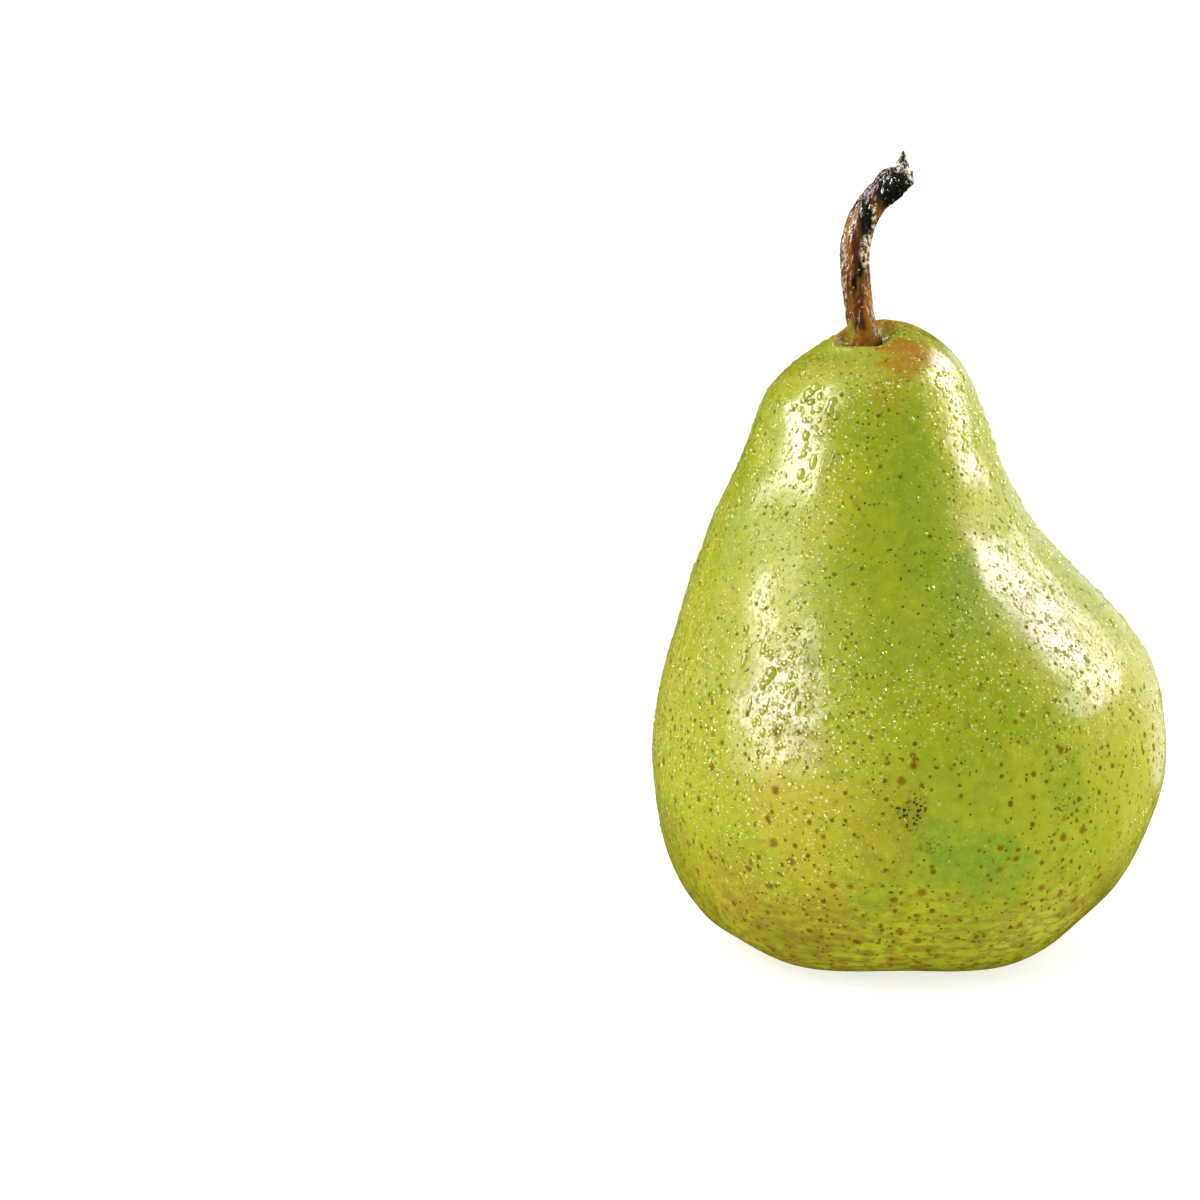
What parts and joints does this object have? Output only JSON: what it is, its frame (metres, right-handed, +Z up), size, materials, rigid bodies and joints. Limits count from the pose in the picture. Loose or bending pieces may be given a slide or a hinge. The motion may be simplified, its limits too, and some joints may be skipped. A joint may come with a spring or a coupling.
{
  "type": "pear",
  "caption": "Whole green pear standing upright on its blossom end, with a leaning neck, a bent woody stem and a dried calyx in the basin underneath.",
  "frame": {"origin": "on the surface the pear stands on, under the middle of its belly", "axes": "+Z up from the blossom end to the stem, +X to the right seen from the front, +Y to the back"},
  "size_m": [0.078, 0.078, 0.1211],
  "materials": {
    "skin": "waxy yellow-green skin, semi-gloss and wet, speckled with brown lenticels and russet",
    "stem": "orange-brown bark with blackened, flaking streaks towards its broken end",
    "calyx": "dry dark brown, matt"
  },
  "bodies": {
    "root": {"fruit": "skin", "stem": "stem", "calyx": "calyx"}
  },
  "joints": []
}
